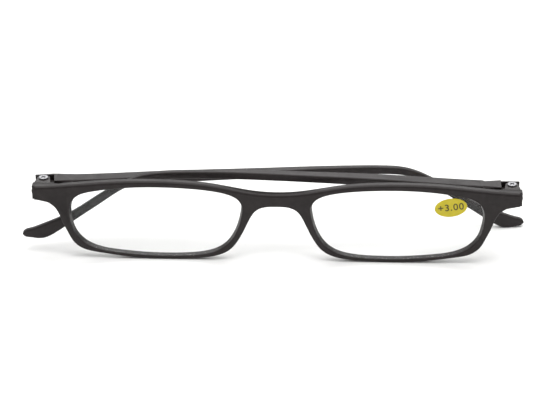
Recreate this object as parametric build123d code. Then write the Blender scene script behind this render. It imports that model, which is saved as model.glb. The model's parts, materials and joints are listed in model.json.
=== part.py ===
from build123d import *
import math
import os

# Folding reading glasses, folded, standing on the two lower rims and the tip of the rear temple.
# +X is the wearer's left, -Y is the way the lenses face, +Z is up. Millimetres.
# Everything is drawn with the front of the frame in the plane y = 0 and the lowest point of the
# rims at z = 0, and is moved at the end so that its box is centred on the floor.

through = 20.0                  # longer than anything it cuts or is cut by

# Front frame
front_thickness = 2.4
end_piece_depth = 3.3           # the end pieces are deeper than the rims, to carry the hinges
end_piece_inner_x = 61.2
end_piece_bottom = 17.3
end_piece_top = 21.45
end_piece_side_x = 66.4
end_block_front = 1.0           # the block behind an end piece starts inside the outline,
end_block_inset = 0.1           # and stands in from its upper and lower edges

# Lenses
lens_center_x = 32.8
lens_center_z = 11.5
opening_half_width = 23.5
opening_half_height = 10.4
lens_front_radius = 400.0
lens_back_radius = 276.0
lens_front_vertex = 0.05        # y of the middle of the front surface
lens_thickness = 2.6
lens_play = 0.05                # between the lens and the edge of the rim
bevel_height = 0.5              # how far the lens edge reaches into the groove of the rim
bevel_front = 0.8
bevel_width = 0.8

# Power sticker
sticker_x = 47.2
sticker_z = 17.0
sticker_half_width = 4.4
sticker_half_height = 2.75
sticker_turn = 7.0
sticker_thickness = 0.12

# Hinges
hinge_x = 63.8
hinge_y = 5.8
lug_radius = 1.8
lug_base_half_width = 2.25
lug_sunk = 0.5                  # how far the foot of a lug is sunk into the end piece
upper_lug_bottom = 20.05
lower_lug_top = 18.5
tongue_gap = 0.1                # between the tongue of the temple and each lug
tongue_radius = 1.75
tongue_neck_width = 3.2
slot_play = 0.3                 # behind the end of the tongue
screw_shank_radius = 0.7
screw_bore_radius = 0.75
screw_head_rounding = 0.2
screw_head_radius = 1.3
screw_head_height = 0.4
screw_end_z = 17.55
recess_width = 0.36
recess_length = 1.5
recess_depth = 0.28
insert_radius = 1.15
insert_bottom = 17.5

# Temples, along their own length s from the hinge axis
temple_right_angle = 8.2        # the rear temple, on the wearer's right, stands off the frame
temple_left_angle = 0.5         # the front temple, on the wearer's left, lies along the frame
temple_bow = 0.8                # the crossed arms are sprung apart, the rear one down and
temple_lift = 1.6               # the front one up: at mid length, and at the tip
temple_root_s = 2.9             # where the full section starts
temple_outer_offset = 2.9       # from the hinge axis to the outer face, at the root
root_overlap = 2.0              # how far the tongue's neck and the outer wall run into the arm
outer_wall_offset = 2.3
outer_wall_end = 2.2            # the outer wall covers the hinge and stops the temple when open
outer_wall_bottom = 17.6
outer_wall_top = 21.2
temple_length = 134.1

# Upper edge of the front from the middle of the bridge to the end piece, as (x, z)
top_edge = [(0, 20.05), (5, 20.3), (11, 21.25), (18, 22.55), (26, 23.3), (34, 23.5), (46, 23.05),
            (56, 22.1), (62, 21.6)]
# Lower edge of the front, from the end piece round the rim and the nose to the bridge
lower_edge = [(62.4, 16.85), (60.4, 15.4), (59.2, 13.2), (58.2, 10.4), (56.9, 7.4), (55.5, 4.8),
              (53.2, 2.9), (49, 1.75), (40.5, 0.5), (30, 0), (21, 0.45), (16, 1.35), (12.7, 3.1),
              (10.3, 6.2), (8.4, 10.0), (6.8, 13.4), (5.4, 15.2), (3.4, 16.15), (0, 16.4)]
# The opening of one rim, from its innermost point over the top to its outermost, and back below
opening_top = [(9.2, 15.3), (9.5, 16.95), (10.6, 18.5), (12.9, 19.8), (17, 20.8), (25, 21.6),
               (34, 21.8), (43, 21.3), (50, 20.25), (53.6, 19.15), (55.4, 17.65), (56.25, 15.9),
               (56.45, 13.8)]
opening_bottom = [(56.45, 13.8), (56.2, 11.0), (55.1, 7.6), (52.75, 4.8), (49, 2.9), (43, 1.8),
                  (35, 1.12), (27, 1.08), (20.5, 1.6), (16.3, 2.75), (13.5, 4.6), (11.4, 7.5),
                  (9.9, 11.4), (9.2, 15.3)]
# Upper and lower edges of a temple seen from the side, as (s, z)
temple_top = [(2.9, 21.35), (15, 21.3), (30, 21.65), (45, 21.91), (60, 22.16), (75, 22.51),
              (88, 22.45), (95, 22.13), (100, 21.4), (104, 19.93), (108, 17.77), (112, 15.4),
              (120.5, 9.6), (126, 6.9), (130.4, 5.0)]
temple_bottom = [(130.9, 1.75), (128.9, 1.7), (127.2, 2.15), (125.3, 3.2), (119, 7.68), (112, 12.7),
                 (106, 16.9), (101, 19.08), (95, 19.98), (88, 20.3), (75, 20.36), (60, 20.06),
                 (45, 19.71), (30, 19.25), (15, 18.45), (2.9, 17.7)]
temple_tip = [(130.4, 5.0), (132.1, 4.45), (133.4, 3.9), (134.1, 3.1), (133.7, 2.4), (132.6, 1.98),
              (130.9, 1.75)]
# Outer and inner faces of a temple seen from above, as (s, offset from the hinge axis)
temple_outer = [(30, 2.9), (45, 2.6), (61, 1.9), (80, 0.8), (95, 0.3), (136, -0.6)]
temple_inner = [(136, -2.4), (95, -1.7), (60, -1.1), (25, -1.05), (2.9, -1.6)]


def on_front(points):
    return [Vector(x, 0, z) for x, z in points]


def mirrored(points):
    return [(-x, z) for x, z in reversed(points)]


def front_outline():
    upper = mirrored(top_edge)[:-1] + top_edge
    lower = lower_edge + mirrored(lower_edge)[1:]
    right_side = end_piece_side(1)
    left_side = end_piece_side(-1)
    edges = [Spline(*on_front(upper)), Spline(*on_front(lower))] + right_side + left_side
    return make_face(edges)


def end_piece_side(side):
    """The three-sided end of the front, from the upper edge round to the lower edge."""
    corner_top = (side * 65.0, 21.45)
    corner_out = (side * 66.5, 19.9)
    corner_low = (side * 66.2, 18.4)
    corner_bottom = (side * 65.0, 17.3)
    start = (side * top_edge[-1][0], top_edge[-1][1])
    end = (side * lower_edge[0][0], lower_edge[0][1])
    p = on_front([start, corner_top, corner_out, corner_low, corner_bottom, end])
    top_bend = ThreePointArc(p[1], Vector(side * 66.1, 0, 21.0), p[2])
    low_bend = ThreePointArc(p[3], Vector(side * 65.8, 0, 17.6), p[4])
    return [Line(p[0], p[1]), top_bend, Line(p[2], p[3]), low_bend, Line(p[4], p[5])]


def opening_face(side, grown_by=0.0):
    """The opening of one rim in the plane y = 0, grown all round by scaling about its centre."""
    x_scale = 1 + grown_by / opening_half_width
    z_scale = 1 + grown_by / opening_half_height

    def grown(points):
        return [(side * (lens_center_x + (x - lens_center_x) * x_scale),
                 lens_center_z + (z - lens_center_z) * z_scale) for x, z in points]

    return make_face([Spline(*on_front(grown(edge))) for edge in (opening_top, opening_bottom)])


def along_y(face, y_from, y_to):
    """The face, which lies in y = 0, as a solid from y_from to y_to."""
    return extrude(Pos(0, y_from, 0) * face, amount=y_to - y_from, dir=(0, 1, 0))


def lug_plan(half_width, reach):
    """The plan of a hinge lug in its own frame, with the hinge axis at the origin."""
    base_y = end_piece_depth - hinge_y - lug_sunk
    slope = (lug_base_half_width - half_width) / -base_y
    body = Polygon(
        (-half_width, 0), (-half_width + slope * base_y, base_y),
        (half_width - slope * base_y, base_y), (half_width, 0), align=None)
    return body + Circle(reach)


def lug(side):
    """Both lugs of one hinge, with the slot for the temple's tongue and the screw's bore."""
    plan = lug_plan(lug_radius, lug_radius)
    block = extrude(Pos(0, 0, end_piece_bottom) * plan, end_piece_top - end_piece_bottom)
    slot_back = tongue_radius + slot_play
    slot = Pos(0, through / 2 - slot_back, (upper_lug_bottom + lower_lug_top) / 2) * Box(
        through, through, upper_lug_bottom - lower_lug_top)
    bore = Pos(0, 0, lower_lug_top) * Cylinder(
        screw_bore_radius, through, align=(Align.CENTER, Align.CENTER, Align.MIN))
    seat = Pos(0, 0, insert_bottom) * Cylinder(
        insert_radius, through, align=(Align.CENTER, Align.CENTER, Align.MIN))
    below = Pos(0, 0, lower_lug_top - through / 2) * Box(through, through, through)
    upper = block - below - slot - bore
    lower = (block & below) - seat
    return Pos(side * hinge_x, hinge_y, 0) * (upper + lower)


def front_frame():
    body = along_y(front_outline(), 0, front_thickness)
    for side in (-1, 1):
        end_block = Pos(side * (end_piece_inner_x + end_piece_side_x) / 2,
                        (end_piece_depth + end_block_front) / 2,
                        (end_piece_bottom + end_piece_top) / 2) * Box(
            end_piece_side_x - end_piece_inner_x, end_piece_depth - end_block_front,
            end_piece_top - end_piece_bottom - 2 * end_block_inset)
        body += end_block
        body += lug(side)
        body -= along_y(opening_face(side), -through, through)
        body -= bevel(side)
    return body


def bevel(side):
    return along_y(opening_face(side, bevel_height), bevel_front, bevel_front + bevel_width)


def lens_ball(side, back):
    if back:
        y = lens_front_vertex + lens_thickness - lens_back_radius
        return Pos(side * lens_center_x, y, lens_center_z) * Sphere(lens_back_radius)
    y = lens_front_vertex + lens_front_radius
    return Pos(side * lens_center_x, y, lens_center_z) * Sphere(lens_front_radius)


def lens(side):
    body = along_y(opening_face(side, -lens_play), -through, through)
    return (body & lens_ball(side, False) & lens_ball(side, True)) + bevel(side)


def sticker():
    oval = Ellipse(sticker_half_width, sticker_half_height)
    place = Plane(origin=(sticker_x, -through, sticker_z), x_dir=(1, 0, 0), z_dir=(0, -1, 0))
    column = extrude(place * Rot(0, 0, sticker_turn) * oval, amount=2 * through, dir=(0, 1, 0))
    y = lens_front_vertex + lens_front_radius
    skin = Pos(lens_center_x, y, lens_center_z) * Sphere(lens_front_radius + sticker_thickness)
    return (column & skin) - Pos(lens_center_x, y, lens_center_z) * Sphere(lens_front_radius)


def temple_side_face(spring):
    """The side of a temple, sprung up (1) or down (-1) from the shape it was moulded in."""
    def rise(s):
        return temple_bow * math.sin(math.pi * s / temple_length) + temple_lift * s / temple_length

    def bowed(points):
        return on_front([(s, z + spring * rise(s)) for s, z in points])

    top = Spline(*bowed(temple_top))
    tip = Spline(*bowed(temple_tip))
    bottom = Spline(*bowed(temple_bottom))
    return make_face([top, tip, bottom, Line(bottom @ 1, top @ 0)])


def temple_plan_face():
    outer = [Vector(s, y, 0) for s, y in temple_outer]
    inner = [Vector(s, y, 0) for s, y in temple_inner]
    corner = Vector(temple_root_s, temple_outer_offset, 0)
    return make_face([Line(corner, outer[0]), Spline(*outer), Line(outer[-1], inner[0]),
                      Spline(*inner), Line(inner[-1], corner)])


def temple(spring):
    """A temple in its own frame: the hinge axis at the origin, the arm along +X, outside at +Y."""
    arm = along_y(temple_side_face(spring), -through, through) & extrude(
        temple_plan_face(), 2 * through)
    wall = Pos((temple_root_s + root_overlap - outer_wall_end) / 2,
               (outer_wall_offset + temple_outer_offset) / 2,
               (outer_wall_bottom + outer_wall_top) / 2) * Box(
        temple_root_s + root_overlap + outer_wall_end, temple_outer_offset - outer_wall_offset,
        outer_wall_top - outer_wall_bottom)
    tongue_bottom = lower_lug_top + tongue_gap
    tongue_height = upper_lug_bottom - lower_lug_top - 2 * tongue_gap
    neck_end = temple_root_s + root_overlap
    neck = Pos(neck_end / 2, 0, 0) * Rectangle(neck_end, tongue_neck_width)
    tongue = extrude(Pos(0, 0, tongue_bottom) * (Circle(tongue_radius) + neck), tongue_height)
    bore = Pos(0, 0, tongue_bottom) * Cylinder(screw_bore_radius, through)
    return arm + wall + (tongue - bore)


def temple_in_place(side, angle, spring):
    shape = temple(spring)
    if side > 0:
        shape = mirror(shape, about=Plane.YZ)
        return Pos(hinge_x, hinge_y, 0) * Rot(0, 0, -angle) * shape
    return Pos(-hinge_x, hinge_y, 0) * Rot(0, 0, angle) * shape


def hinge_screw(side):
    shank = Pos(0, 0, screw_end_z) * Cylinder(
        screw_shank_radius, end_piece_top - screw_end_z,
        align=(Align.CENTER, Align.CENTER, Align.MIN))
    head = Pos(0, 0, end_piece_top) * Cylinder(
        screw_head_radius, screw_head_height, align=(Align.CENTER, Align.CENTER, Align.MIN))
    head = fillet(head.edges().group_by(Axis.Z)[-1], screw_head_rounding)
    recess_z = end_piece_top + screw_head_height
    for turn in (45, 135):
        head -= Pos(0, 0, recess_z) * Rot(0, 0, turn) * Box(
            recess_length, recess_width, 2 * recess_depth)
    return Pos(side * hinge_x, hinge_y, 0) * (shank + head)


def hinge_insert(side):
    body = Pos(0, 0, insert_bottom) * Cylinder(
        insert_radius, lower_lug_top - insert_bottom, align=(Align.CENTER, Align.CENTER, Align.MIN))
    thread = Pos(0, 0, insert_bottom) * Cylinder(screw_shank_radius, through)
    return Pos(side * hinge_x, hinge_y, 0) * (body - thread)


def centred_on_floor(shapes):
    """The move that puts the middle of the bottom of the pair's box at the origin."""
    boxes = [shape.bounding_box() for shape in shapes]
    x = (min(box.min.X for box in boxes) + max(box.max.X for box in boxes)) / 2
    y = (min(box.min.Y for box in boxes) + max(box.max.Y for box in boxes)) / 2
    return Pos(-x, -y, -min(box.min.Z for box in boxes))


def main():
    os.makedirs("parts", exist_ok=True)
    parts = {
        "front_frame": front_frame(),
        "lens_left": lens(1),
        "lens_right": lens(-1),
        "power_sticker": sticker(),
        "temple_left": temple_in_place(1, temple_left_angle, 1),
        "temple_right": temple_in_place(-1, temple_right_angle, -1),
    }
    for name, side in (("left", 1), ("right", -1)):
        parts["hinge_screw_" + name] = hinge_screw(side)
        parts["hinge_insert_" + name] = hinge_insert(side)
    place = centred_on_floor(parts.values())
    for name, shape in parts.items():
        export_step(place * shape, "parts/" + name + ".step")
    for name, side in (("left", 1), ("right", -1)):
        axis_point = place * Pos(side * hinge_x, hinge_y, end_piece_top)
        print("hinge", name, [round(v / 1000, 6) for v in axis_point.position])
    for name in ("front_frame", "temple_right"):
        print("lowest point of", name, round(parts[name].bounding_box().min.Z, 3))


main()
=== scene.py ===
"""Folding reading glasses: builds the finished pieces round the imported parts.

Each operator makes one piece, or one group of like pieces. Pieces are modelled in millimetres
with the origin on the floor under the middle of the bridge, in the plane of the front's face,
and are brought to their places, in metres, when they are finished.
"""

import json
import math

import bmesh
import bpy
from bpy.props import FloatProperty, FloatVectorProperty, PointerProperty, StringProperty
from mathutils import Matrix, Vector
from mathutils.bvhtree import BVHTree


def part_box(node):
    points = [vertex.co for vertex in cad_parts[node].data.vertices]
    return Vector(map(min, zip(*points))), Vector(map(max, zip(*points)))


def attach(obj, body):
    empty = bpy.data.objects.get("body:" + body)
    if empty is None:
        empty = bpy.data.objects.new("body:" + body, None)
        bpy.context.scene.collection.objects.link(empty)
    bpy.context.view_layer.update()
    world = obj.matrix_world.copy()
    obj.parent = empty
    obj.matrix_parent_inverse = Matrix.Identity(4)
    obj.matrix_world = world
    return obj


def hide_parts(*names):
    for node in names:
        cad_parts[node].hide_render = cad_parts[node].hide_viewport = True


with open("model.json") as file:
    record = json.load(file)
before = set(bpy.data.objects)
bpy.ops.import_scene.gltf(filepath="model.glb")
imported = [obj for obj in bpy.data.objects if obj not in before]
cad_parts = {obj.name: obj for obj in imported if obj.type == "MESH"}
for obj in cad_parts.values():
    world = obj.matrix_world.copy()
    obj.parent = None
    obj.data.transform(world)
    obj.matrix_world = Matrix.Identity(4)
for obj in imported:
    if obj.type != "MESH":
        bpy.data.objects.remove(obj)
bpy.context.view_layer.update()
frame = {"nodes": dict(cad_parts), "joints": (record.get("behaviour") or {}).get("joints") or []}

bl_info = {
    "name": "Reading Glasses",
    "version": (1, 0, 0),
    "blender": (4, 5, 0),
    "location": "3D View > Sidebar > Glasses",
    "description": "Builds a pair of folding reading glasses round its packed parts",
    "category": "Object",
}

MM = 0.001
SIDES = {"left": 1, "right": -1}
WELD = 0.001                    # mm within which a copied part's loose corners are one
FLAT = math.radians(0.4)        # facets closer than this are one face
SHARP = math.radians(28)        # edges over this are edges of the moulding
SPLIT = math.radians(40)        # edges over this stay crisp in the shading
WALL_END = 57.0                 # mm from the middle to where the end pieces begin
ARM_START = 5.5                 # mm from the hinge pin to where the arm is full round
STEP = 0.12                     # mm, steps at the hinge too low to be seen
TOUCH = 0.02                    # mm within which a point lies in a plane
CLOSE = 0.2                     # mm, the closest that corners of an outline stand
RIM_START = 8.6                 # mm from the middle to the nearest wall round a lens
LENS_X = 33.0                   # mm from the middle to the centre of a lens
LENS_Z = 12.0                   # mm, height of the centre of a lens
OPENING_TOP = 22.5              # mm, height of the top wall round a lens
BROW_LOW = 19.5                 # mm, height over which the face's edge belongs to the brow
THIN_RADIUS = 0.05              # mm, rounding of the screws, the inserts and the film
STICKER_TURN = math.radians(7)  # the sticker's turn on its lens
BACK_END = 61.0                 # mm from the middle to the end of the plain back edges


def front_place():
    """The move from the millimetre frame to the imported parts' own."""
    low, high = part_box("front_frame")
    origin = Vector(((low.x + high.x) / 2, low.y, low.z))
    return Matrix.Translation(origin) @ Matrix.Scale(MM, 4)


PLACE = front_place()
HINGES = {j["child"]: PLACE.inverted() @ Vector(j["pos_m"]) for j in frame["joints"]}


# Sizes and colours


class FrontSettings(bpy.types.PropertyGroup):
    face_radius: FloatProperty(
        name="Face edge radius", description="Rounding of the lower edge of the front's face",
        default=0.0004, unit="LENGTH")
    brow_radius: FloatProperty(
        name="Brow radius", description="Rounding along the top of the front's face",
        default=0.0009, unit="LENGTH")
    opening_radius: FloatProperty(
        name="Opening edge radius", description="Rounding of the edges round the lenses",
        default=0.00028, unit="LENGTH")
    back_radius: FloatProperty(
        name="Back edge radius", description="Rounding of the edges on the wearer's side",
        default=0.00045, unit="LENGTH")
    opening_taper: FloatProperty(
        name="Opening taper", description="How far the side walls round the lenses close in",
        default=0.00055, unit="LENGTH")
    lug_radius: FloatProperty(
        name="Lug edge radius", description="Rounding of the hinge lugs and their slot",
        default=0.00012, unit="LENGTH")


class TempleSettings(bpy.types.PropertyGroup):
    arm_radius: FloatProperty(
        name="Arm edge radius", description="Rounding along the arm and round its tip",
        default=0.0005, unit="LENGTH")
    hinge_radius: FloatProperty(
        name="Hinge edge radius", description="Rounding of the tongue and the outer wall",
        default=0.00012, unit="LENGTH")


class PlasticSettings(bpy.types.PropertyGroup):
    colour: FloatVectorProperty(
        name="Plastic", description="Body colour of the moulded frame", subtype="COLOR",
        default=(0.0100, 0.0072, 0.0070), min=0, max=1)
    worn_colour: FloatVectorProperty(
        name="Rubbed plastic", description="Colour along edges that handling has polished",
        subtype="COLOR", default=(0.020, 0.016, 0.016), min=0, max=1)
    roughness: FloatProperty(
        name="Roughness", description="Roughness of the satin texture", default=0.47,
        min=0, max=1, subtype="FACTOR")
    grain: FloatProperty(
        name="Grain size", description="Size of the mould's fine spark texture",
        default=0.00022, unit="LENGTH")


class LensSettings(bpy.types.PropertyGroup):
    index: FloatProperty(
        name="Refractive index", description="Refractive index of the clear plastic",
        default=1.49, min=1, max=2)
    tint: FloatVectorProperty(
        name="Tint", description="Colour of the clear plastic", subtype="COLOR",
        default=(0.55, 0.60, 0.60), min=0, max=1)
    body: FloatProperty(
        name="Body", description="How much of what lies behind a lens it hides",
        default=0.03, min=0, max=1, subtype="FACTOR")


class StickerSettings(bpy.types.PropertyGroup):
    power: StringProperty(
        name="Power", description="Number printed on the power sticker", default="+3.00")
    film_colour: FloatVectorProperty(
        name="Film", description="Colour of the film", subtype="COLOR",
        default=(0.56, 0.46, 0.008), min=0, max=1)
    ink_colour: FloatVectorProperty(
        name="Ink", description="Colour of the printed number", subtype="COLOR",
        default=(0.06, 0.05, 0.001), min=0, max=1)
    number_height: FloatProperty(
        name="Number height", description="Height of the printed digits",
        default=0.00195, unit="LENGTH")


class MetalSettings(bpy.types.PropertyGroup):
    steel: FloatVectorProperty(
        name="Screw", description="Colour of the plated screws", subtype="COLOR",
        default=(0.27, 0.27, 0.28), min=0, max=1)
    brass: FloatVectorProperty(
        name="Insert", description="Colour of the threaded inserts", subtype="COLOR",
        default=(0.62, 0.43, 0.17), min=0, max=1)


class StageSettings(bpy.types.PropertyGroup):
    floor_colour: FloatVectorProperty(
        name="Floor", description="Colour of the floor", subtype="COLOR",
        default=(0.90, 0.90, 0.89), min=0, max=1)
    room_strength: FloatProperty(
        name="Room light", description="Brightness of the even light all round",
        default=0.35, min=0)
    camera_distance: FloatProperty(
        name="Camera distance", description="From the camera to the middle of the pair",
        default=0.575, unit="LENGTH")
    camera_elevation: FloatProperty(
        name="Camera elevation", description="Camera's height above the horizon",
        default=math.radians(27), subtype="ANGLE")
    camera_azimuth: FloatProperty(
        name="Camera azimuth", description="Camera's turn round the pair, from straight ahead",
        default=math.radians(1.94), subtype="ANGLE")
    camera_lens: FloatProperty(
        name="Focal length", description="Focal length on a 36 mm sensor, in mm",
        default=134.9)


# Materials


class Nodes:
    """A material's node tree, with each node placed to the right of the last."""

    def __init__(self, name):
        self.material = bpy.data.materials.new(name)
        self.material.use_nodes = True
        self.tree = self.material.node_tree
        self.tree.nodes.clear()
        self.column = 0

    def add(self, kind, links=None, **values):
        node = self.tree.nodes.new(kind)
        node.location = (self.column * 200, 0)
        self.column += 1
        for key, value in values.items():
            if hasattr(node, key):
                setattr(node, key, value)
            else:
                node.inputs[key.replace("_", " ")].default_value = value
        for key, socket in (links or {}).items():
            self.tree.links.new(socket, node.inputs[key])
        return node

    def ramp(self, factor, *stops):
        node = self.add("ShaderNodeValToRGB", {"Fac": factor})
        elements = node.color_ramp.elements
        while len(elements) < len(stops):
            elements.new(0.5)
        for element, (position, colour) in zip(elements, stops):
            element.position = position
            element.color = (*colour, 1) if hasattr(colour, "__len__") else (colour,) * 3 + (1,)
        return node.outputs["Color"]

    def span(self, value, low, high):
        """value, from 0 to 1, as low to high."""
        node = self.add("ShaderNodeMapRange", {"Value": value})
        node.inputs["To Min"].default_value = low
        node.inputs["To Max"].default_value = high
        return node.outputs["Result"]

    def place(self):
        return self.add("ShaderNodeTexCoord").outputs["Object"]

    def noise(self, place, size, detail=2.0, roughness=0.5):
        node = self.add("ShaderNodeTexNoise", {"Vector": place}, Scale=1 / size)
        node.inputs["Detail"].default_value = detail
        node.inputs["Roughness"].default_value = roughness
        return node.outputs["Fac"]

    def finish(self, shader):
        self.add("ShaderNodeOutputMaterial", {"Surface": shader})
        return self.material


def plastic_material(settings):
    n = Nodes("matte_moulded_plastic")
    place = n.place()
    cloud = n.noise(place, 0.011, 3)
    rubbed = n.add("ShaderNodeAttribute", attribute_name="rubbed").outputs["Fac"]
    patchy = n.noise(place, 0.0016, 4, 0.6)
    wear = n.add("ShaderNodeMath", {0: rubbed, 1: patchy}, operation="MULTIPLY").outputs[0]
    body = n.ramp(cloud, (0.3, [c * 0.86 for c in settings.colour]),
                  (0.7, [c * 1.14 for c in settings.colour]))
    mix = n.add("ShaderNodeMix", data_type="RGBA")
    n.tree.links.new(n.span(wear, 0, 1.4), mix.inputs["Factor"])
    n.tree.links.new(body, mix.inputs["A"])
    mix.inputs["B"].default_value = (*settings.worn_colour, 1)
    satin = n.noise(place, 0.004, 3)
    rough = n.add("ShaderNodeMath", {0: n.span(satin, settings.roughness - 0.05,
                                               settings.roughness + 0.05)}, operation="SUBTRACT")
    n.tree.links.new(n.span(wear, 0, 0.12), rough.inputs[1])
    spark = n.noise(place, settings.grain, 2, 0.7)
    pits = n.add("ShaderNodeTexVoronoi", {"Vector": place}, Scale=0.6 / settings.grain)
    grain = n.add("ShaderNodeMath", {0: spark, 1: pits.outputs["Distance"]}, operation="ADD")
    bump = n.add("ShaderNodeBump", {"Height": grain.outputs[0]}, Strength=0.28, Distance=0.00003)
    shader = n.add("ShaderNodeBsdfPrincipled", {
        "Base Color": mix.outputs["Result"], "Roughness": rough.outputs[0],
        "Normal": bump.outputs["Normal"]})
    shader.inputs["IOR"].default_value = 1.5
    shader.inputs["Specular IOR Level"].default_value = 0.24
    return n.finish(shader.outputs[0])


def lens_material(settings):
    n = Nodes("clear_lens_plastic")
    place = n.place()
    haze = n.noise(place, 0.006, 3)
    ripple = n.noise(place, 0.02, 1)
    bump = n.add("ShaderNodeBump", {"Height": ripple}, Strength=0.02, Distance=0.0002)
    shader = n.add("ShaderNodeBsdfPrincipled", {"Roughness": n.span(haze, 0.015, 0.04),
                                                "Normal": bump.outputs[0]})
    shader.inputs["Base Color"].default_value = (*settings.tint, 1)
    shader.inputs["IOR"].default_value = settings.index
    shader.inputs["Specular IOR Level"].default_value = 1
    shader.inputs["Alpha"].default_value = settings.body
    return n.finish(shader.outputs[0])


def film_material(settings):
    n = Nodes("yellow_sticker_film")
    place = n.place()
    dye = n.noise(place, 0.0018, 3)
    colour = n.ramp(dye, (0.3, [c * 0.93 for c in settings.film_colour]),
                    (0.7, [min(1, c * 1.05) for c in settings.film_colour]))
    crinkle = n.noise(place, 0.0009, 3)
    bump = n.add("ShaderNodeBump", {"Height": crinkle}, Strength=0.12, Distance=0.00003)
    rough = n.span(dye, 0.26, 0.38)
    shader = n.add("ShaderNodeBsdfPrincipled", {
        "Base Color": colour, "Roughness": rough, "Normal": bump.outputs[0]})
    shader.inputs["IOR"].default_value = 1.47
    shader.inputs["Alpha"].default_value = 0.96
    return n.finish(shader.outputs[0])


def ink_material(settings):
    n = Nodes("sticker_ink")
    place = n.place()
    speckle = n.noise(place, 0.00025, 2)
    colour = n.ramp(speckle, (0.3, [c * 0.85 for c in settings.ink_colour]),
                    (0.7, [c * 1.15 for c in settings.ink_colour]))
    shader = n.add("ShaderNodeBsdfPrincipled", {"Base Color": colour,
                                                "Roughness": n.span(speckle, 0.4, 0.6)})
    return n.finish(shader.outputs[0])


def metal_material(name, colour, size, roughness):
    n = Nodes(name)
    place = n.place()
    tarnish = n.noise(place, size * 4, 4, 0.6)
    tone = n.ramp(tarnish, (0.3, [c * 0.82 for c in colour]),
                  (0.7, [min(1, c * 1.06) for c in colour]))
    scratch = n.noise(place, size, 5, 0.7)
    bump = n.add("ShaderNodeBump", {"Height": scratch}, Strength=0.2, Distance=0.00002)
    shader = n.add("ShaderNodeBsdfPrincipled", {
        "Base Color": tone, "Normal": bump.outputs[0],
        "Roughness": n.span(scratch, roughness - 0.08, roughness + 0.1)})
    shader.inputs["Metallic"].default_value = 1
    return n.finish(shader.outputs[0])


def floor_material(settings):
    n = Nodes("studio_floor")
    place = n.place()
    paper = n.noise(place, 0.003, 4)
    colour = n.ramp(paper, (0.3, [c * 0.995 for c in settings.floor_colour]),
                    (0.7, list(settings.floor_colour)))
    shader = n.add("ShaderNodeBsdfPrincipled", {"Base Color": colour}, Roughness=0.9)
    shader.inputs["Specular IOR Level"].default_value = 0.15
    return n.finish(shader.outputs[0])


# Meshes


def copy_of(node):
    """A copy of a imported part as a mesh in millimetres, with its loose triangles joined."""
    bm = bmesh.new()
    bm.from_mesh(frame["nodes"][node].data)
    bmesh.ops.transform(bm, matrix=PLACE.inverted(), verts=bm.verts)
    bmesh.ops.remove_doubles(bm, verts=bm.verts, dist=WELD)
    bmesh.ops.dissolve_limit(bm, angle_limit=FLAT, verts=bm.verts, edges=bm.edges)
    bmesh.ops.recalc_face_normals(bm, faces=bm.faces)
    return bm


def even_out(bm, edges, shortest):
    """Merges the corners along the edges that stand closer than shortest."""
    short = [e for e in edges if e.calc_length() < shortest]
    bmesh.ops.collapse(bm, edges=short)


def sharp_edges(bm, test=lambda e: True):
    return [e for e in bm.edges
            if len(e.link_faces) == 2 and e.calc_face_angle() > SHARP and test(e)]


def round_edges(bm, edges, radius, segments, worn=None, clamp=False):
    """Rounds those of the edges that are left, and marks the new faces' corners as rubbed."""
    made = bmesh.ops.bevel(
        bm, geom=[e for e in edges if e.is_valid], offset=radius, offset_type="OFFSET",
        affect="EDGES", segments=segments, profile=0.5, material=-1, clamp_overlap=clamp)
    if worn is not None:
        for face in made["faces"]:
            for v in face.verts:
                v[worn] = 1.0


def finished(name, bm, material, body, slot, *nodes):
    """The mesh as a shaded object in its place, riding on its body."""
    bmesh.ops.transform(bm, matrix=PLACE, verts=bm.verts)
    for face in bm.faces:
        face.smooth = True
    for edge in bm.edges:
        edge.smooth = len(edge.link_faces) != 2 or edge.calc_face_angle() < SPLIT
    mesh = bpy.data.meshes.new(name)
    bm.to_mesh(mesh)
    bm.free()
    mesh.materials.append(material)
    piece = bpy.data.objects.new(name, mesh)
    bpy.context.scene.collection.objects.link(piece)
    weighted = piece.modifiers.new("weighted_normals", "WEIGHTED_NORMAL")
    weighted.keep_sharp = True
    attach(piece, body)
    if nodes:
        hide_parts(*nodes)
    return piece


def in_plane(edge, y):
    return all(abs(v.co.y - y) < TOUCH for v in edge.verts)


def opening_walls(bm, back):
    """The faces of the walls round both lenses, between the face and the back of the rims."""
    walls = set()
    for side in SIDES.values():
        top = Vector((side * LENS_X, back / 2, OPENING_TOP))
        seed = min((f for f in bm.faces if 0.05 < f.calc_center_median().y < back - 0.05),
                   key=lambda f: (f.calc_center_median() - top).length)
        found, queue = {seed}, [seed]
        while queue:
            for edge in queue.pop().edges:
                if in_plane(edge, 0) or in_plane(edge, back):
                    continue
                for face in edge.link_faces:
                    if face not in found:
                        found.add(face)
                        queue.append(face)
        walls |= found
    return walls


def square_walls(bm, back):
    """Rebuilds the front's outer walls, between its end pieces, as one row of squared faces."""
    for x in (-WALL_END, WALL_END):
        bmesh.ops.bisect_plane(bm, geom=bm.verts[:] + bm.edges[:] + bm.faces[:], dist=0.0001,
                               plane_co=(x, 0, 0), plane_no=(1, 0, 0))
    walls = [f for f in bm.faces if abs(f.calc_center_median().x) < WALL_END
             and max(v.co.y for v in f.verts) > TOUCH
             and min(v.co.y for v in f.verts) < back - TOUCH]
    edges = {e for f in walls for e in f.edges}
    face_edges = [e for e in edges if in_plane(e, 0)]
    back_verts = {v for e in edges if in_plane(e, back) for v in e.verts}
    bmesh.ops.delete(bm, geom=walls, context="FACES")
    between = [v for v in bm.verts if abs(abs(v.co.x) - WALL_END) < 0.001
               and TOUCH < v.co.y < back - TOUCH]
    bmesh.ops.dissolve_verts(bm, verts=between)

    def behind(v):
        return min(back_verts, key=lambda b: (b.co.xz - v.co.xz).length)

    for edge in face_edges:
        a, b = edge.verts
        bm.faces.new((a, b, behind(b), behind(a)))


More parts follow.
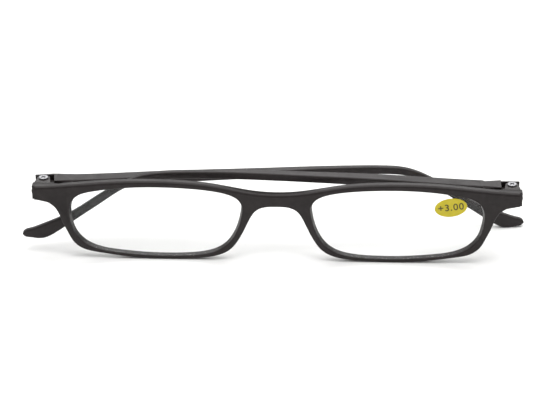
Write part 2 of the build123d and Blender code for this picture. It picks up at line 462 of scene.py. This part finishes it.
def front_mesh(settings):
    bm = copy_of("front_frame")
    worn = bm.verts.layers.float.new("rubbed")
    back = max(v.co.y for v in bm.verts if abs(v.co.x) < 50)
    even_out(bm, [e for e in bm.edges if in_plane(e, 0) or in_plane(e, back)], CLOSE)
    bmesh.ops.dissolve_limit(bm, angle_limit=FLAT, verts=bm.verts, edges=bm.edges)
    bmesh.ops.delete(bm, geom=list(opening_walls(bm, back)), context="FACES")
    square_walls(bm, back)
    for side in SIDES.values():
        rim = [e for e in bm.edges if len(e.link_faces) == 1
               and all(v.co.x * side > 0 for v in e.verts)]
        seat = {v for e in rim for v in e.verts if abs(v.co.y - back) < TOUCH}
        low, high = min(v.co.x for v in seat), max(v.co.x for v in seat)
        narrowed = 1 - 2 * settings.opening_taper / MM / (high - low)
        bmesh.ops.scale(bm, vec=(narrowed, 1, 1), verts=list(seat),
                        space=Matrix.Translation((-(low + high) / 2, 0, 0)))
        bmesh.ops.bridge_loops(bm, edges=rim)
    bmesh.ops.recalc_face_normals(bm, faces=bm.faces)
    inner = set()
    for face in bm.faces:
        c = face.calc_center_median()
        if 0.3 < c.y < back - 0.3 and RIM_START < abs(c.x) < WALL_END and face.normal.dot(
                Vector((math.copysign(LENS_X, c.x), c.y, LENS_Z)) - c) > 0:
            inner.update(face.edges)
    faces_open = sharp_edges(bm, lambda e: in_plane(e, 0) and e in inner)
    face_out = sharp_edges(bm, lambda e: in_plane(e, 0) and e not in inner)

    def faces_up(e):
        middle = (e.verts[0].co + e.verts[1].co) / 2
        walls = [f for f in e.link_faces if abs(f.normal.y) < 0.5]
        return middle.z > BROW_LOW and walls and walls[0].normal.z > 0

    brow = [e for e in face_out if faces_up(e)]
    below = [e for e in face_out if not faces_up(e)]
    backs = sharp_edges(bm, lambda e: in_plane(e, back)
                        and max(abs(v.co.x) for v in e.verts) < BACK_END)
    rest = sharp_edges(bm, lambda e: min(v.co.y for v in e.verts) > back + 0.05)
    round_edges(bm, brow, settings.brow_radius / MM, 6, worn)
    round_edges(bm, below, settings.face_radius / MM, 4, worn)
    round_edges(bm, faces_open, settings.opening_radius / MM, 3, worn)
    round_edges(bm, backs, settings.back_radius / MM, 4, worn)
    round_edges(bm, rest, settings.lug_radius / MM, 2, worn, clamp=True)
    return bm


class MESH_OT_reading_glasses_front(bpy.types.Operator):
    """Make the front: both rims, the bridge, the end pieces and the hinge lugs"""

    bl_idname = "mesh.reading_glasses_front"
    bl_label = "Front"

    def execute(self, context):
        scene = context.scene
        finished("glasses_front", front_mesh(scene.glasses_front), plastic(scene), "front",
                 "frame_plastic", "front_frame")
        return {"FINISHED"}


def plastic(scene):
    return bpy.data.materials.get("matte_moulded_plastic") or plastic_material(
        scene.glasses_plastic)


def temple_mesh(name, settings):
    bm = copy_of(name)
    worn = bm.verts.layers.float.new("rubbed")
    hinge = HINGES[name]

    def from_hinge(e):
        return min((v.co.xy - hinge.xy).length for v in e.verts)

    steps = [v for v in bm.verts if (v.co.xy - hinge.xy).length < ARM_START + 1]
    bmesh.ops.remove_doubles(bm, verts=steps, dist=STEP)
    bmesh.ops.dissolve_limit(bm, angle_limit=FLAT, verts=bm.verts, edges=bm.edges)
    arm = sharp_edges(bm, lambda e: from_hinge(e) > ARM_START)
    near = sharp_edges(bm, lambda e: from_hinge(e) <= ARM_START)
    round_edges(bm, arm, settings.arm_radius / MM, 5, worn)
    round_edges(bm, near, settings.hinge_radius / MM, 2, worn, clamp=True)
    return bm


class MESH_OT_reading_glasses_temples(bpy.types.Operator):
    """Make both temples, each with its arm, its curved tip and its hinge tongue"""

    bl_idname = "mesh.reading_glasses_temples"
    bl_label = "Temples"

    def execute(self, context):
        scene = context.scene
        for side in SIDES:
            node = "temple_" + side
            finished("glasses_" + node, temple_mesh(node, scene.glasses_temples), plastic(scene),
                     node, "frame_plastic", node)
        return {"FINISHED"}


class MESH_OT_reading_glasses_lenses(bpy.types.Operator):
    """Make both lenses"""

    bl_idname = "mesh.reading_glasses_lenses"
    bl_label = "Lenses"

    def execute(self, context):
        material = lens_material(context.scene.glasses_lenses)
        for side in SIDES:
            node = "lens_" + side
            bm = copy_of(node)
            finished("glasses_" + node, bm, material, "front", "lens_clear", node)
        return {"FINISHED"}


def middle_of(bm):
    """The middle of the mesh's box."""
    low = Vector([min(v.co[i] for v in bm.verts) for i in range(3)])
    high = Vector([max(v.co[i] for v in bm.verts) for i in range(3)])
    return (low + high) / 2


def number_mesh(settings, surface, centre, turn):
    """The printed number, laid on the sticker."""
    curve = bpy.data.curves.new("number", "FONT")
    curve.body = settings.power
    curve.align_x = "CENTER"
    curve.align_y = "CENTER"
    curve.size = settings.number_height / MM / 0.7
    curve.space_character = 1.12
    curve.extrude = 0.02
    curve.offset = 0.035
    curve.resolution_u = 6
    text = bpy.data.objects.new("number", curve)
    bpy.context.scene.collection.objects.link(text)
    depsgraph = bpy.context.evaluated_depsgraph_get()
    mesh = bpy.data.meshes.new_from_object(text.evaluated_get(depsgraph))
    bpy.data.objects.remove(text)
    bpy.data.curves.remove(curve)
    bm = bmesh.new()
    bm.from_mesh(mesh)
    bpy.data.meshes.remove(mesh)
    bmesh.ops.remove_doubles(bm, verts=bm.verts, dist=WELD)
    stand = (Matrix.Translation((centre.x, 0, centre.z)) @ Matrix.Rotation(-turn, 4, "Y")
             @ Matrix.Rotation(math.radians(90), 4, "X"))
    bmesh.ops.transform(bm, matrix=stand, verts=bm.verts)
    for v in bm.verts:
        v.co.y += surface(v.co.x, v.co.z)
    bmesh.ops.recalc_face_normals(bm, faces=bm.faces)
    return bm


class MESH_OT_reading_glasses_sticker(bpy.types.Operator):
    """Make the power sticker and its printed number"""

    bl_idname = "mesh.reading_glasses_sticker"
    bl_label = "Power sticker"

    def execute(self, context):
        settings = context.scene.glasses_sticker
        bm = copy_of("power_sticker")
        centre = middle_of(bm)
        round_edges(bm, sharp_edges(bm), THIN_RADIUS, 2)
        skin = BVHTree.FromBMesh(bm)

        def surface(x, z):
            return skin.ray_cast(Vector((x, -5, z)), Vector((0, 1, 0)))[0].y

        finished("glasses_power_sticker", bm, film_material(settings), "front", "sticker_film",
                 "power_sticker")
        number = number_mesh(settings, surface, centre, STICKER_TURN)
        finished("glasses_power_number", number, ink_material(settings), "front", "sticker_film")
        return {"FINISHED"}


class MESH_OT_reading_glasses_hinges(bpy.types.Operator):
    """Make the hinge screws and the threaded inserts that hold them"""

    bl_idname = "mesh.reading_glasses_hinges"
    bl_label = "Hinge screws"

    def execute(self, context):
        settings = context.scene.glasses_metal
        steel = metal_material("plated_steel", settings.steel, 0.00012, 0.3)
        brass = metal_material("turned_brass", settings.brass, 0.0001, 0.34)
        for side in SIDES:
            for part, material, slot in (("hinge_screw_", steel, "screw_steel"),
                                         ("hinge_insert_", brass, "insert_brass")):
                bm = copy_of(part + side)
                round_edges(bm, sharp_edges(bm), THIN_RADIUS, 2)
                finished("glasses_" + part + side, bm, material, "front", slot, part + side)
        return {"FINISHED"}


def area_light(name, strength, size, place, aim):
    light = bpy.data.lights.new(name, "AREA")
    light.shape = "RECTANGLE"
    light.size, light.size_y = size
    light.energy = strength
    lamp = bpy.data.objects.new(name, light)
    bpy.context.scene.collection.objects.link(lamp)
    lamp.location = place
    lamp.rotation_euler = (Vector(aim) - Vector(place)).to_track_quat("-Z", "Y").to_euler()
    return lamp


class SCENE_OT_reading_glasses_stage(bpy.types.Operator):
    """Make the floor, the studio light and the camera"""

    bl_idname = "scene.reading_glasses_stage"
    bl_label = "Stage"

    def execute(self, context):
        scene = context.scene
        settings = scene.glasses_stage
        bm = bmesh.new()
        bmesh.ops.create_grid(bm, x_segments=8, y_segments=8, size=3.0)
        mesh = bpy.data.meshes.new("studio_floor")
        bm.to_mesh(mesh)
        bm.free()
        mesh.materials.append(floor_material(settings))
        floor = bpy.data.objects.new("studio_floor", mesh)
        scene.collection.objects.link(floor)

        world = bpy.data.worlds.new("studio")
        world.use_nodes = True
        room = world.node_tree.nodes["Background"]
        room.inputs["Color"].default_value = (1, 1, 1, 1)
        room.inputs["Strength"].default_value = settings.room_strength
        scene.world = world
        middle = PLACE @ Vector((0.3, 5.0, 11.3))
        for name, strength, size, offset in (
                ("overhead_softbox", 11.0, (1.2, 0.9), (0, 0.0, 0.9)),
                ("rear_softbox", 6.5, (1.4, 0.4), (0, 0.9, 0.6)),
                ("left_softbox", 1.5, (0.5, 0.5), (-0.9, -0.4, 0.3)),
                ("right_softbox", 1.5, (0.5, 0.5), (0.9, -0.4, 0.3))):
            area_light(name, strength, size, middle + Vector(offset), middle)
        scene.view_settings.view_transform = "Standard"

        data = bpy.data.cameras.new("camera")
        data.sensor_width = 36
        data.lens = settings.camera_lens
        data.shift_x = 2 / 560
        data.shift_y = 6 / 560
        data.clip_start = 0.01
        camera = bpy.data.objects.new("camera", data)
        scene.collection.objects.link(camera)
        turn, rise = settings.camera_azimuth, settings.camera_elevation
        away = Vector((math.sin(turn) * math.cos(rise), -math.cos(turn) * math.cos(rise),
                       math.sin(rise)))
        camera.location = middle + away * settings.camera_distance
        camera.rotation_euler = (-away).to_track_quat("-Z", "Y").to_euler()
        scene.camera = camera
        return {"FINISHED"}


OPERATORS = (
    SCENE_OT_reading_glasses_stage,
    MESH_OT_reading_glasses_front,
    MESH_OT_reading_glasses_temples,
    MESH_OT_reading_glasses_lenses,
    MESH_OT_reading_glasses_sticker,
    MESH_OT_reading_glasses_hinges,
)
SETTINGS = {
    "glasses_front": FrontSettings,
    "glasses_temples": TempleSettings,
    "glasses_plastic": PlasticSettings,
    "glasses_lenses": LensSettings,
    "glasses_sticker": StickerSettings,
    "glasses_metal": MetalSettings,
    "glasses_stage": StageSettings,
}


class VIEW3D_PT_reading_glasses(bpy.types.Panel):
    bl_label = "Reading Glasses"
    bl_space_type = "VIEW_3D"
    bl_region_type = "UI"
    bl_category = "Glasses"

    def draw(self, context):
        for operator in OPERATORS:
            self.layout.operator(operator.bl_idname)
        for name, group in SETTINGS.items():
            box = self.layout.box()
            for key in group.__annotations__:
                box.prop(getattr(context.scene, name), key)


def register():
    for cls in (*SETTINGS.values(), *OPERATORS, VIEW3D_PT_reading_glasses):
        bpy.utils.register_class(cls)
    for name, group in SETTINGS.items():
        setattr(bpy.types.Scene, name, PointerProperty(type=group))


def unregister():
    for name in SETTINGS:
        delattr(bpy.types.Scene, name)
    for cls in reversed((*SETTINGS.values(), *OPERATORS, VIEW3D_PT_reading_glasses)):
        bpy.utils.unregister_class(cls)


def main():
    register()
    for operator in OPERATORS:
        category, name = operator.bl_idname.split(".")
        getattr(getattr(bpy.ops, category), name)()


if __name__ == "__main__":
    main()
